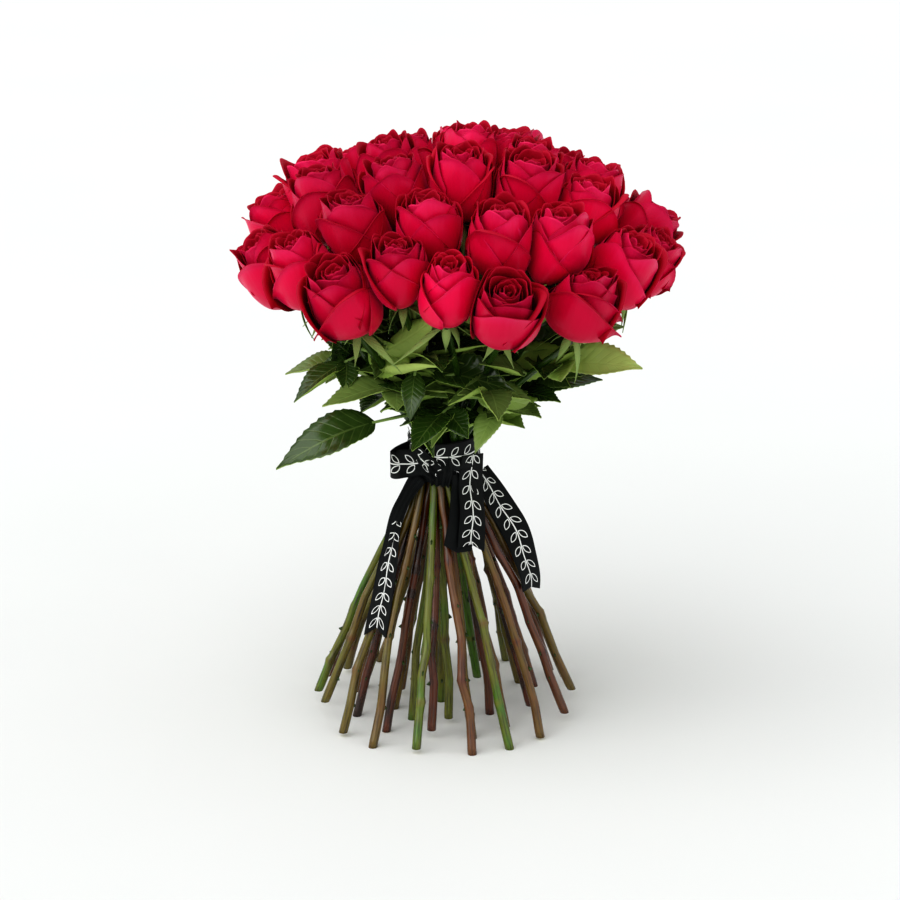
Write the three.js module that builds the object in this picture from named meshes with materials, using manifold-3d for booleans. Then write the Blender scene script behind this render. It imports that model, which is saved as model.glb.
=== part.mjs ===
// A hand-tied bunch of forty red roses that stands unheld on its splayed stems. The stems spiral through
// a ribbon tie at the waist. Above it they fan out under a dome of blooms, and below it they spread into
// a wide foot. Every stem carries its hip, its sepals and some of them their leaves.
// Millimetres and degrees, +Z up, front towards -Y. An azimuth is turned from the front towards +X.
import * as THREE from 'three';
import { mergeVertices } from 'three/addons/utils/BufferGeometryUtils.js';
import Module from 'manifold-3d';

const wasm = await Module();
wasm.setup();

// Driving dimensions of the whole bunch.
const domeApex = 483; // height of the middle bloom's centre
const domeRadius = 190; // sphere that the bloom centres lie on
const domeLean = 13; // the dome sits this far to the right of the waist
const rimHeight = 370; // lowest edge of the dome
const bandLow = 214; // lower edge of the ribbon tie
const bandHigh = 252; // upper edge of the ribbon tie
const stemRings = [
  { count: 1, dome: 18, waist: 3, foot: 6, phase: 160, tilt: 4, groups: [] },
  { count: 8, dome: 57, waist: 9, foot: 46, phase: 2, tilt: 8, groups: [8] },
  { count: 13, dome: 109, waist: 16.6, foot: 82, phase: 17, tilt: 14, groups: [3, 3, 3, 4] },
  { count: 18, dome: 151, waist: 24.2, foot: 116, phase: -4, tilt: 25, groups: [3, 3, 3, 3, 3, 3] },
];

// Stems.
const stemSides = 5;
const footHalf = 4.2; // half the stem's thickness at the foot
const waistHalf = 3.7;
const neckHalf = 2.7;
const hipHalf = 5;
const hipLength = 11;
const stemSpacing = 6.3; // between neighbours of one group at the waist, so that they hold together
const twistTurn = 28; // how far the spiral turns on each side of the tie
const twistLength = 60;
const footHeights = [66, 138]; // where a stem bends below the tie
const flareBulge = 0.15; // how much faster than a straight line the stems spread below the tie
const sideLift = 13; // the rim stems furthest to the left and right are cut this much shorter
const tieMargin = 2; // stems run straight this far past the tie's edges
const seatGap = 0.3;

// Blooms.
const bloomHeight = 63;
const bloomSink = 28; // from the bloom's base up to its centre
const petalsPerWhorl = 5;
const petalSteps = [0, 0.45, 0.93]; // leading edge, middle and tucked edge of a petal
const cellGap = 0.6; // clear space between two blooms
const cellPower = 6;

// Sepals and leaves.
const sepalsPerBloom = 5;
const bladeThickness = 0.8;
const leafletSteps = [0, 0.15, 0.31, 0.47, 0.63, 0.8, 1];
const sideLeafletSteps = [0, 0.22, 0.46, 0.7, 1];

// Ribbon.
const ribbonWidth = 25;
const ribbonThickness = 1;
const bandInner = 28.5;
const bandOuter = 29.7;

// How single blooms of each ring stand away from the rule: turned, raised, pushed out, tipped and grown.
// Slots count from the ring's phase.
const rimPoise = {
  0: [0, 10, -15, -4, 0.96], 1: [-2, -7, 1, 10, 1], 2: [4, -8, 1, 2, 1.06], 3: [8, 3, -6, 8, 1.05],
  4: [10, -3, 2, 12, 1], 5: [8, 2, 0, 18, 1.06], 6: [4, -3, 0, 8, 1], 13: [-3, 13, 0, 4, 1.05],
  14: [-2, -10, 2, 16, 1.1], 15: [3, 6, -6, 4, 1.04], 16: [5, -6, -1, 0, 1.12], 17: [1, 17, -21, -6, 0.96],
};
const innerPoise = {
  0: [0, -3, -1, 2, 1.05], 1: [-4, -12, 11, 4, 1.1], 5: [0, 3, 0, 0, 1], 8: [-5, 0, 0, 0, 1],
  9: [-10, -2, 8, 6, 1.05], 10: [-15, 0, 3, 2, 1.05], 11: [-15, -2, -3, 2, 1], 12: [-5, 6, -19, -4, 0.96],
};
const heartPoise = {
  0: [0, 4, -20, 0, 1], 1: [5, -4, 9, 2, 1.05], 6: [-8, 0, 0, 0, 1], 7: [-15, -4, 6, 2, 1.05],
};

// Leaves: slot of the rim stem, height on it, rise of the leaf stalk, sideways turn, blade length, droop
// and number of leaflets.
const leaves = [
  [15, 276, -2, -8, 84, 0.46, 1], [15, 338, -14, 3, 52, 0.25, 3], [14, 316, 2, -4, 48, 0.3, 3],
  [17, 318, 0, -37, 66, 0.12, 3], [0, 298, -6, -30, 58, 0.2, 3], [1, 318, 8, -8, 58, 0.3, 3],
  [3, 278, 28, 34, 68, 0.46, 3], [3, 322, 12, -6, 72, 0.16, 3], [2, 284, 20, 0, 50, 0.24, 3],
  [5, 300, 8, 0, 60, 0.3, 3], [7, 312, 8, 8, 58, 0.3, 3], [9, 296, 4, -10, 60, 0.3, 3],
  [11, 314, 6, 6, 58, 0.3, 3],
];

let seed = 41;
function random() {
  seed = (seed * 1664525 + 1013904223) % 4294967296;
  return seed / 4294967296;
}

function spread(range) {
  return (random() * 2 - 1) * range;
}

function atAzimuth(radius, azimuth, height) {
  const turn = THREE.MathUtils.degToRad(azimuth);
  return new THREE.Vector3(radius * Math.sin(turn), -radius * Math.cos(turn), height);
}

// The way towards an azimuth, tipped from the vertical.
function leaning(azimuth, tilt) {
  const lean = THREE.MathUtils.degToRad(tilt);
  return atAzimuth(Math.sin(lean), azimuth, Math.cos(lean));
}

// The upright bunch leans a little above the tie.
function leaned(geometry) {
  const { position } = geometry.attributes;
  for (let index = 0; index < position.count; index++) {
    const lean = domeLean * THREE.MathUtils.smoothstep(position.getZ(index), bandHigh, rimHeight);
    position.setX(index, position.getX(index) + lean);
  }
  return geometry;
}

// A closed geometry from points and faces, turned outwards if it comes out inside out.
function closedGeometry(points, faces) {
  const across = new THREE.Vector3();
  let volume = 0;
  for (const [a, b, c] of faces) {
    volume += points[a].dot(across.crossVectors(points[b], points[c]));
  }
  const outward = volume > 0 ? faces : faces.map(([a, b, c]) => [a, c, b]);
  const geometry = new THREE.BufferGeometry().setFromPoints(points);
  geometry.setIndex(outward.flat());
  return geometry;
}

// A skin over rings of points, closed by one point at each end.
function loft(firstPole, rings, lastPole) {
  const sides = rings[0].length;
  const points = [...rings.flat(), firstPole, lastPole];
  const faces = [];
  for (let side = 0; side < sides; side++) {
    const next = (side + 1) % sides;
    faces.push([next, side, points.length - 2]);
    for (let ring = 0; ring + 1 < rings.length; ring++) {
      const low = ring * sides;
      const high = low + sides;
      faces.push([low + side, low + next, high + next], [low + side, high + next, high + side]);
    }
    const top = (rings.length - 1) * sides;
    faces.push([top + side, top + next, points.length - 1]);
  }
  return closedGeometry(points, faces);
}

// A thin sheet: rows of points given thickness along each row's normal, split alike on both faces.
function sheet(rows, normals, thickness) {
  const columns = rows[0].length;
  const shifted = (way) => rows.flatMap((row, index) =>
    row.map((point) => point.clone().addScaledVector(normals[index], way * thickness / 2)));
  const points = [...shifted(1), ...shifted(-1)];
  const under = rows.length * columns;
  const faces = [];
  const wall = (a, b) => faces.push([a, b, b + under], [a, b + under, a + under]);
  for (let row = 0; row + 1 < rows.length; row++) {
    for (let column = 0; column + 1 < columns; column++) {
      const a = row * columns + column;
      const b = a + columns;
      faces.push([a, a + 1, b + 1], [a, b + 1, b]);
      faces.push([a + under, b + 1 + under, a + 1 + under], [a + under, b + under, b + 1 + under]);
    }
    wall(row * columns, (row + 1) * columns);
    wall((row + 2) * columns - 1, (row + 1) * columns - 1);
  }
  const last = under - columns;
  for (let column = 0; column + 1 < columns; column++) {
    wall(column + 1, column);
    wall(last + column, last + column + 1);
  }
  return closedGeometry(points, faces);
}

function toManifold(geometry) {
  const bare = mergeVertices(geometry.deleteAttribute('normal').deleteAttribute('uv'));
  const vertProperties = new Float32Array(bare.attributes.position.array);
  const triVerts = new Uint32Array(bare.index.array);
  return new wasm.Manifold(new wasm.Mesh({ numProp: 3, vertProperties, triVerts }));
}

function joined(geometries) {
  const mesh = wasm.Manifold.union(geometries.map(toManifold)).getMesh();
  const geometry = new THREE.BufferGeometry();
  geometry.setAttribute('position', new THREE.BufferAttribute(mesh.vertProperties, 3));
  geometry.setIndex(new THREE.BufferAttribute(mesh.triVerts, 1));
  return geometry;
}

// Where each rose's bloom sits and which way it faces.
function layOutRoses() {
  const roses = [];
  stemRings.forEach((ring, level) => {
    const poise = [{}, heartPoise, innerPoise, rimPoise][level];
    for (let slot = 0; slot < ring.count; slot++) {
      const [turn, rise, reach, tip, growth] = poise[slot] ?? [0, 0, 0, 0, 1];
      const regular = ring.phase + slot * 360 / ring.count;
      const azimuth = regular + turn + spread(1.5);
      const radius = ring.dome + reach + spread(3);
      const drop = domeRadius - Math.sqrt(domeRadius ** 2 - ring.dome ** 2);
      const centre = atAzimuth(radius, azimuth, domeApex - drop + rise + spread(3));
      const axis = leaning(azimuth + spread(12), ring.tilt + tip + spread(4));
      const base = centre.clone().addScaledVector(axis, -bloomSink);
      const size = growth + spread(0.05);
      const open = 0.5 + spread(0.5);
      const spin = random() * 72;
      roses.push({ level, slot, regular, centre, axis, base, size, open, spin });
    }
  });
  return roses;
}

// How far a ray from a bloom's centre runs before it comes half way to a neighbour.
function cellReach(rose, roses, way) {
  let reach = 200;
  for (const other of roses) {
    const between = other.centre.clone().sub(rose.centre);
    const distance = between.length();
    const facing = distance ? way.dot(between) / distance : 0;
    if (facing > 0.001) {
      reach = Math.min(reach, (distance / 2 - cellGap / 2) / facing);
    }
  }
  return reach;
}

// Petals press against their neighbours instead of passing through them.
function pressed(point, rose, roses) {
  const way = point.clone().sub(rose.centre);
  const distance = way.length();
  way.normalize();
  const reach = cellReach(rose, roses, way);
  const share = distance / reach;
  return rose.centre.clone().addScaledVector(way, distance / (1 + share ** cellPower) ** (1 / cellPower));
}

// A bloom: two whorls of petals as steps and wavy rims of one skin, round a pointed heart.
function bloomGeometry(rose, roses) {
  const { open } = rose;
  const whorls = [
    { up: 0.09, out: 20, wave: 0, flare: 0.02, shift: 0 },
    { up: 0.36, out: 27 + 4 * open, wave: 0, flare: 0.05, shift: 0 },
    { up: 0.82, out: 24 + 6 * open, wave: 2.6, flare: 0.09, shift: 0 },
    { up: 0.72, out: 20 + 4 * open, wave: 1.4, flare: 0.05, shift: 0 },
    { up: 0.96, out: 15 + 4 * open, wave: 2, flare: 0.07, shift: 1 },
    { up: 0.85, out: 10 + 3 * open, wave: 1, flare: 0.05, shift: 1 },
  ];
  const side = new THREE.Vector3(0, 0, 1).cross(rose.axis).normalize();
  const away = rose.axis.clone().cross(side);
  const place = (up, out, angle) => {
    const turn = THREE.MathUtils.degToRad(angle + rose.spin);
    const point = rose.base.clone().addScaledVector(rose.axis, up * bloomHeight * rose.size);
    point.addScaledVector(side, Math.cos(turn) * out * rose.size);
    return point.addScaledVector(away, Math.sin(turn) * out * rose.size);
  };
  const rings = whorls.map(({ up, out, wave, flare, shift }) => {
    const ring = [];
    for (let step = 0; step < petalsPerWhorl * petalSteps.length; step++) {
      const petal = Math.floor(step / petalSteps.length);
      const angle = 360 / petalsPerWhorl * (petal + petalSteps[step % petalSteps.length]);
      const part = (step + shift) % petalSteps.length;
      const rim = [0, 1, -1][part] * wave / bloomHeight;
      const bulge = 1 + [1, 0.6, -1.4][part] * flare;
      ring.push(pressed(place(up + rim, out * bulge, angle), rose, roses));
    }
    return ring;
  });
  return loft(place(0, 0, 0), rings, pressed(place(0.97, 0, 0), rose, roses));
}

// The slots of one ring at the waist: neighbours of a group stand close, and groups stand apart.
function waistAzimuth(ring, slot) {
  const step = 2 * THREE.MathUtils.radToDeg(Math.asin(stemSpacing / 2 / ring.waist));
  let first = 0;
  for (const size of ring.groups) {
    if (slot < first + size) {
      const middle = first + (size - 1) / 2;
      return ring.phase + middle * 360 / ring.count + (slot - middle) * step;
    }
    first += size;
  }
  return ring.phase;
}

// The stem's centre line as [radius, azimuth, height] stations, from its cut foot to its neck.
function stemRoute(rose) {
  const ring = stemRings[rose.level];
  const neck = rose.base.clone().addScaledVector(rose.axis, -hipLength);
  const neckRadius = Math.hypot(neck.x, neck.y);
  const neckAzimuth = THREE.MathUtils.radToDeg(Math.atan2(neck.x, -neck.y));
  const bandMiddle = (bandLow + bandHigh) / 2;
  const twist = (height) => {
    const along = (bandMiddle - height) / twistLength;
    return twistTurn * along / Math.hypot(1, along);
  };
  const waist = waistAzimuth(ring, rose.slot) - twist(neck.z);
  const footTurn = rose.regular - twist(neck.z) + spread(rose.level === 3 ? 4 : 7) - waist;
  const headTurn = (neckAzimuth - waist - twist(neck.z) + 540) % 360 - 180;
  const sideways = Math.sin(THREE.MathUtils.degToRad(waist + twist(0) + footTurn));
  const lift = rose.level === 3
    ? Math.max(0, spread(9) - 3) + sideLift * Math.max(0, 2 * Math.abs(sideways) - 1) ** 2
    : Math.max(0, spread(14));
  const stations = [lift, ...footHeights].map((height) => {
    const drop = (bandLow - height) / bandLow;
    const flare = drop + flareBulge * drop ** 2 * (1 - drop);
    const kink = height === lift ? 0 : 1.6;
    const radius = ring.waist + (ring.foot - ring.waist) * flare + spread(kink);
    return [radius, waist + twist(height) + footTurn * drop, height];
  });
  for (const height of [bandLow - tieMargin, bandHigh + tieMargin]) {
    stations.push([ring.waist, waist + twist(height), height]);
  }
  const rise = neck.z - bandHigh;
  const lean = Math.tan(Math.acos(rose.axis.z)) * rise;
  const run = neckRadius - ring.waist;
  const u = 0.5;
  const radius = ring.waist + run * (3 * u ** 2 - 2 * u ** 3)
    + 0.12 * rose.level * rise * (u - 2 * u ** 2 + u ** 3) + lean * (u ** 3 - u ** 2);
  const height = bandHigh + rise * u;
  stations.push([radius, waist + twist(height) + headTurn * u ** 2, height]);
  stations.push([neckRadius, neckAzimuth, neck.z]);
  return stations;
}

// A stem from its level cut at the foot to the hip under its bloom.
function stemGeometry(rose) {
  const centres = rose.route.map((station) => atAzimuth(...station));
  const halves = [footHalf, 4, 3.8, waistHalf, waistHalf, 3.2, neckHalf, hipHalf];
  const upHip = (distance) => rose.base.clone().addScaledVector(rose.axis, -distance);
  centres.push(upHip(hipLength * 0.4));
  const rings = centres.map((centre, index) => {
    const before = centres[Math.max(0, index - 1)];
    const after = centres[Math.min(centres.length - 1, index + 1)];
    let along = after.clone().sub(before).normalize();
    if (index === 0) along = new THREE.Vector3(0, 0, 1);
    if (index === centres.length - 1) along = rose.axis;
    const azimuth = rose.route[Math.min(index, rose.route.length - 1)][1];
    const side = atAzimuth(1, azimuth + 90, 0);
    side.addScaledVector(along, -side.dot(along)).normalize();
    const away = along.clone().cross(side);
    return Array.from({ length: stemSides }, (unused, corner) => {
      const turn = 2 * Math.PI * corner / stemSides;
      const point = centre.clone().addScaledVector(side, Math.cos(turn) * halves[index]);
      return point.addScaledVector(away, Math.sin(turn) * halves[index]);
    });
  });
  return loft(centres[0], rings, upHip(seatGap));
}

// Sepals folded back from the top of the hip, each a thin pointed blade.
function sepalGeometries(rose) {
  const root = rose.base.clone().addScaledVector(rose.axis, -4);
  const side = new THREE.Vector3(0, 0, 1).cross(rose.axis).normalize();
  const away = rose.axis.clone().cross(side);
  const sepals = [];
  for (let index = 0; index < sepalsPerBloom; index++) {
    const turn = THREE.MathUtils.degToRad(rose.spin + index * 360 / sepalsPerBloom + spread(12));
    const droop = THREE.MathUtils.degToRad(52 + spread(22));
    const length = 30 + spread(7);
    const outward = side.clone().multiplyScalar(Math.cos(turn)).addScaledVector(away, Math.sin(turn));
    const along = outward.clone().multiplyScalar(Math.cos(droop));
    along.addScaledVector(rose.axis, -Math.sin(droop));
    const across = along.clone().cross(rose.axis).normalize();
    const up = across.clone().cross(along);
    const at = (distance, wide, high) => root.clone().addScaledVector(along, distance)
      .addScaledVector(across, wide).addScaledVector(up, high);
    const ring = [at(9, 3.4, 0.8), at(9, 0, 1.6), at(9, -3.4, 0.8)];
    sepals.push(loft(at(0, 0, -0.5), ring, at(length, 0, -2)));
  }
  return sepals;
}

// One leaflet: a pointed oval blade with saw-toothed edges, folded along its rib and arched over.
function leafletGeometry(start, way, length, width, droop, roll, steps) {
  const level = new THREE.Vector3(0, 0, 1);
  const across = way.clone().cross(level).normalize();
  const up = across.clone().cross(way).normalize();
  across.applyAxisAngle(way, roll);
  up.applyAxisAngle(way, roll);
  const normals = [];
  const rows = steps.map((step, index) => {
    const rib = start.clone().addScaledVector(way, length * step);
    rib.addScaledVector(up, -droop * length * step ** 2);
    const saw = index % 2 ? 1.06 : 0.9;
    const half = Math.max(0.6, width / 2 * Math.sin(Math.PI * step ** 0.85) ** 0.8 * saw);
    const normal = up.clone().addScaledVector(way, 2 * droop * step).normalize();
    normals.push(normal);
    const edge = (sign) => rib.clone().addScaledVector(across, sign * half)
      .addScaledVector(normal, 0.28 * half);
    return [edge(-1), rib, edge(1)];
  });
  return sheet(rows, normals, bladeThickness);
}

// A leaf: a stalk out of the stem with one leaflet at its tip, and one at each side where it has three.
function leafGeometries(rose, [, height, rise, turn, length, droop, leaflets]) {
  const upper = rose.route.findIndex((station) => station[2] > height);
  const [low, high] = rose.route.slice(upper - 1, upper + 1).map((station) => atAzimuth(...station));
  const root = low.lerp(high, (height - low.z) / (high.z - low.z));
  const azimuth = THREE.MathUtils.radToDeg(Math.atan2(root.x, -root.y)) + turn;
  const wayAt = (sideways, steeper) => leaning(azimuth + sideways, 90 - rise - steeper);
  const stalk = 0.42 * length;
  const forward = wayAt(0, 0);
  const tip = root.clone().addScaledVector(forward, stalk);
  const across = forward.clone().cross(new THREE.Vector3(0, 0, 1)).normalize();
  const up = across.clone().cross(forward);
  const stalkRing = (centre, half) => [0, 120, 240].map((angle) => {
    const spin = THREE.MathUtils.degToRad(angle);
    return centre.clone().addScaledVector(across, half * Math.cos(spin))
      .addScaledVector(up, half * Math.sin(spin));
  });
  const fork = root.clone().addScaledVector(forward, stalk * 0.8);
  const sideLength = length * 0.66;
  const hands = leaflets > 1 ? [-1, 1] : [];
  return [
    loft(root, [stalkRing(root, 1.8), stalkRing(tip, 1.4)], tip.clone()),
    leafletGeometry(tip.addScaledVector(forward, -3), forward, length, length / 2, droop, 0, leafletSteps),
    ...hands.map((hand) => leafletGeometry(fork, wayAt(62 * hand, -6), sideLength, sideLength / 2,
      droop * 0.8, -0.2 * hand, sideLeafletSteps)),
  ];
}

// The radius of the stems' outside, at the tie or below it.
function stemsOutside(height) {
  const { waist, foot } = stemRings[3];
  const drop = Math.max(0, (bandLow - height) / bandLow);
  return waist + waistHalf + (foot - waist) * (drop + flareBulge * drop ** 2 * (1 - drop));
}

// The tie: a ring of ribbon round the waist, a fold standing out at its left and the knot in front.
function bandGeometry() {
  const outline = new THREE.Shape().absarc(0, 0, bandOuter, 0, 2 * Math.PI);
  outline.holes.push(new THREE.Path().absarc(0, 0, bandInner, 0, 2 * Math.PI, true));
  const depth = bandHigh - bandLow;
  const ring = new THREE.ExtrudeGeometry(outline, { depth, bevelEnabled: false, curveSegments: 16 });
  ring.translate(0, 0, bandLow);
  const fold = new THREE.Shape();
  fold.moveTo(-24, -16.5).lineTo(-44, -20).quadraticCurveTo(-48, -20, -46, -16).lineTo(-28, -7.5);
  const flap = new THREE.ExtrudeGeometry(fold, { depth: 28, bevelEnabled: false, curveSegments: 3 });
  flap.translate(0, 0, bandLow + 1);
  const knot = new THREE.SphereGeometry(1, 8, 6);
  knot.scale(9, 4.2, 14).translate(-3, -31.5, bandLow + 14);
  return joined([ring, flap, knot]);
}

// A ribbon end that hangs from the tie, through stations of azimuth, distance off the stems, height and
// the azimuth that its face looks to. Its end is cut to a swallowtail.
function tailGeometry(stations) {
  const centres = stations.map(([azimuth, off, height]) =>
    atAzimuth(stemsOutside(height) + off, azimuth, height));
  const normals = [];
  const rows = centres.map((centre, index) => {
    const before = centres[Math.max(0, index - 1)];
    const after = centres[Math.min(centres.length - 1, index + 1)];
    const along = after.clone().sub(before).normalize();
    const normal = leaning(stations[index][3], 78);
    normal.addScaledVector(along, -normal.dot(along)).normalize();
    normals.push(normal);
    const across = normal.clone().cross(along);
    const notch = index === centres.length - 1 ? 8 : 0;
    return [-1, 0, 1].map((side) => centre.clone().addScaledVector(across, side * ribbonWidth / 2)
      .addScaledVector(along, side === 0 ? -notch : 0));
  });
  return sheet(rows, normals, ribbonThickness);
}

const petalFinish = new THREE.MeshStandardMaterial({ color: 0xc4002c, roughness: 0.6 });
const stemFinish = new THREE.MeshStandardMaterial({ color: 0x4d5a22, roughness: 0.55 });
const ribbonFinish = new THREE.MeshStandardMaterial({ color: 0x14181b, roughness: 0.7 });

const group = new THREE.Group();

function add(name, geometry, finish) {
  const mesh = new THREE.Mesh(leaned(geometry), finish.clone());
  mesh.name = name;
  group.add(mesh);
}

const roses = layOutRoses();
for (const rose of roses) {
  rose.route = stemRoute(rose);
}

roses.forEach((rose, index) => {
  add(`bloom_${String(index + 1).padStart(2, '0')}`, bloomGeometry(rose, roses), petalFinish);
});

function addStems(name, members) {
  const pieces = members.flatMap((rose) => {
    const grown = leaves.filter(([slot]) => rose.level === 3 && slot === rose.slot);
    const foliage = grown.flatMap((leaf) => leafGeometries(rose, leaf));
    return [stemGeometry(rose), ...sepalGeometries(rose), ...foliage];
  });
  add(name, joined(pieces), stemFinish);
}

addStems('stems_heart', roses.filter((rose) => rose.level < 2));
[[2, 'inner'], [3, 'outer']].forEach(([level, word]) => {
  let first = 0;
  stemRings[level].groups.forEach((size, index) => {
    const members = roses.filter((rose) =>
      rose.level === level && rose.slot >= first && rose.slot < first + size);
    addStems(`stems_${word}_${'abcdef'[index]}`, members);
    first += size;
  });
});

add('ribbon_band', bandGeometry(), ribbonFinish);
add('ribbon_tail_left', tailGeometry([
  [-59, 1.4, 206, -52], [-62, 2.5, 182, -50], [-53, 3, 153, -46], [-47, 3, 120, -42], [-43, 4, 88, -40],
]), ribbonFinish);
add('ribbon_tail_middle', tailGeometry([
  [50, 3, 238, 42], [44, 3.2, 213, 36], [34, 3, 188, 28], [24, 4, 162, 22],
]), ribbonFinish);
add('ribbon_tail_right', tailGeometry([
  [96, 2.2, 212.6, 90], [88, 5, 188, 66], [80, 8, 162, 40], [76, 11, 138, 24], [76, 12, 120, 12],
]), ribbonFinish);

// The origin is the middle of the bounding box at the surface that the cut stems stand on.
const box = new THREE.Box3().setFromObject(group, true);
const middle = box.getCenter(new THREE.Vector3());
group.position.set(-middle.x, -middle.y, -box.min.z);

export default group;
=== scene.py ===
# A hand-tied bunch of forty red roses that stands unheld on its cut stems.
# Lengths are millimetres and angles degrees until a piece is placed, then metres in the frame of the packed
# solids: +Z up, front towards -Y. An azimuth is turned from the front towards +X.
import math
import random

import bmesh
import bpy
import numpy as np
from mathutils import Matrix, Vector
from mathutils.noise import noise_vector, seed_set


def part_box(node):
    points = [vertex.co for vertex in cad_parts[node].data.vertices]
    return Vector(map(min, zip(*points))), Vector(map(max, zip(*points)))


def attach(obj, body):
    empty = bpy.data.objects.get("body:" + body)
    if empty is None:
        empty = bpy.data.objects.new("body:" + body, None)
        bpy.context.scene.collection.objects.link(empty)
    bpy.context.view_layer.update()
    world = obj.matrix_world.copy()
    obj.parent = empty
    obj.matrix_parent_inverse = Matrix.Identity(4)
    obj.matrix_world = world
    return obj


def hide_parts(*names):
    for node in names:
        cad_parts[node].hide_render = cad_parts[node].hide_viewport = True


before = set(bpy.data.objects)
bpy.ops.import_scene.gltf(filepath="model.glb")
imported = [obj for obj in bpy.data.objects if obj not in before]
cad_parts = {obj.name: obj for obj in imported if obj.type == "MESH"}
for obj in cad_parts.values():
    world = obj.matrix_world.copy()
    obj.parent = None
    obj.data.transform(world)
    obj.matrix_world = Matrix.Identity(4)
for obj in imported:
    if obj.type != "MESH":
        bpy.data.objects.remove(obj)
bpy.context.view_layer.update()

MM = 0.001
SHEET_THICKNESS = 0.45  # of petals, sepals, leaves and ribbon

# The bunch's layout, with the named values of the solids.
DOME_APEX = 483  # height of the middle bloom's centre
DOME_RADIUS = 190
DOME_LEAN = 13
RIM_HEIGHT = 370
BAND_LOW = 214
BAND_HIGH = 252
BAND_OUTER = 29.7
RIBBON_WIDTH = 25
STEM_RINGS = [
    {"count": 1, "dome": 18, "waist": 3, "foot": 6, "phase": 160, "tilt": 4, "groups": []},
    {"count": 8, "dome": 57, "waist": 9, "foot": 46, "phase": 2, "tilt": 8, "groups": [8]},
    {"count": 13, "dome": 109, "waist": 16.6, "foot": 82, "phase": 17, "tilt": 14, "groups": [3, 3, 3, 4]},
    {"count": 18, "dome": 151, "waist": 24.2, "foot": 116, "phase": -4, "tilt": 25, "groups": [3] * 6},
]
FOOT_HALF = 4.2
WAIST_HALF = 3.7
NECK_HALF = 2.7
HIP_LENGTH = 11
STEM_SPACING = 6.3
TWIST_TURN = 28
TWIST_LENGTH = 60
FOOT_HEIGHTS = [66, 138]
TIE_MARGIN = 2
FLARE_BULGE = 0.15
SIDE_LIFT = 13
BLOOM_SINK = 28
CELL_GAP = 0.6
CELL_POWER = 6

# Single blooms that stand away from the rule, by slot: turned, raised, pushed out, tipped and grown.
RIM_POISE = {
    0: (0, 10, -15, -4, 0.96), 1: (-2, -7, 1, 10, 1), 2: (4, -8, 1, 2, 1.06), 3: (8, 3, -6, 8, 1.05),
    4: (10, -3, 2, 12, 1), 5: (8, 2, 0, 18, 1.06), 6: (4, -3, 0, 8, 1), 13: (-3, 13, 0, 4, 1.05),
    14: (-2, -10, 2, 16, 1.1), 15: (3, 6, -6, 4, 1.04), 16: (5, -6, -1, 0, 1.12), 17: (1, 17, -21, -6, 0.96),
}
INNER_POISE = {
    0: (0, -3, -1, 2, 1.05), 1: (-4, -12, 11, 4, 1.1), 5: (0, 3, 0, 0, 1), 8: (-5, 0, 0, 0, 1),
    9: (-10, -2, 8, 6, 1.05), 10: (-15, 0, 3, 2, 1.05), 11: (-15, -2, -3, 2, 1), 12: (-5, 6, -19, -4, 0.96),
}
HEART_POISE = {
    0: (0, 4, -20, 0, 1), 1: (5, -4, 9, 2, 1.05), 6: (-8, 0, 0, 0, 1), 7: (-15, -4, 6, 2, 1.05),
}
POISE = [{}, HEART_POISE, INNER_POISE, RIM_POISE]
RING_GROWTH = [1, 1, 1.05, 1]  # the looks' inner ring is larger than the solids', to close the dome

# Leaves of the solids: slot of the rim stem, height on it, rise of the stalk, turn, blade length, droop and
# number of leaflets.
LEAVES = [
    (15, 276, -2, -8, 84, 0.46, 1), (15, 338, -14, 3, 52, 0.25, 3), (14, 316, 2, -4, 48, 0.3, 3),
    (17, 318, 0, -37, 66, 0.12, 3), (0, 298, -6, -30, 58, 0.2, 3), (1, 318, 8, -8, 58, 0.3, 3),
    (3, 278, 28, 34, 68, 0.46, 3), (3, 322, 12, -6, 72, 0.16, 3), (2, 284, 20, 0, 50, 0.24, 3),
    (5, 300, 8, 0, 60, 0.3, 3), (7, 312, 8, 8, 58, 0.3, 3), (9, 296, 4, -10, 60, 0.3, 3),
    (11, 314, 6, 6, 58, 0.3, 3),
]

# Small leaves that only the looks have, in the same terms.
SMALL_LEAVES = [
    (0, 304, 2, 76, 50, 0.36, 1), (0, 294, -4, -22, 38, 0.5, 1), (16, 292, -6, 60, 46, 0.5, 1),
    (2, 296, -10, -50, 44, 0.4, 1), (17, 340, -30, 20, 40, 0.4, 1),
]
# By slot and height: how pale the leaves that stand out are, and how far some are rolled, in radians.
PALENESS = {(3, 322): 1.2, (0, 304): 1.0, (0, 294): 0.5, (15, 276): 0.05, (14, 316): 0.4, (3, 278): 0.0}
ROLLS = {(3, 322): -0.55, (0, 304): -0.3}

# The band's right and back are plain circle, so they give the place of the bunch's axis.
band_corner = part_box("ribbon_band")[1]
AXIS = Vector((band_corner.x - BAND_OUTER * MM, band_corner.y - BAND_OUTER * MM, 0))

layout_state = [41]
looks = random.Random(7)
seed_set(7)  # without it the noise differs from run to run


def layout_random():
    """The next draw of the solids' own row of random numbers."""
    layout_state[0] = (layout_state[0] * 1664525 + 1013904223) % 4294967296
    return layout_state[0] / 4294967296


def layout_spread(reach):
    return (layout_random() * 2 - 1) * reach


def spread(reach):
    return looks.uniform(-reach, reach)


def at_azimuth(radius, azimuth, height):
    turn = math.radians(azimuth)
    return np.array([radius * math.sin(turn), -radius * math.cos(turn), height])


def azimuth_of(point):
    return math.degrees(math.atan2(point[0], -point[1]))


def leaning(azimuth, tilt):
    lean = math.radians(tilt)
    return at_azimuth(math.sin(lean), azimuth, math.cos(lean))


def unit(way):
    return way / np.linalg.norm(way)


def smooth_step(value, low, high):
    share = np.clip((value - low) / (high - low), 0, 1)
    return share * share * (3 - 2 * share)


def new_object(name, mesh):
    made = bpy.data.objects.new(name, mesh)
    bpy.context.scene.collection.objects.link(made)
    return made


# ---------- pieces


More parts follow.
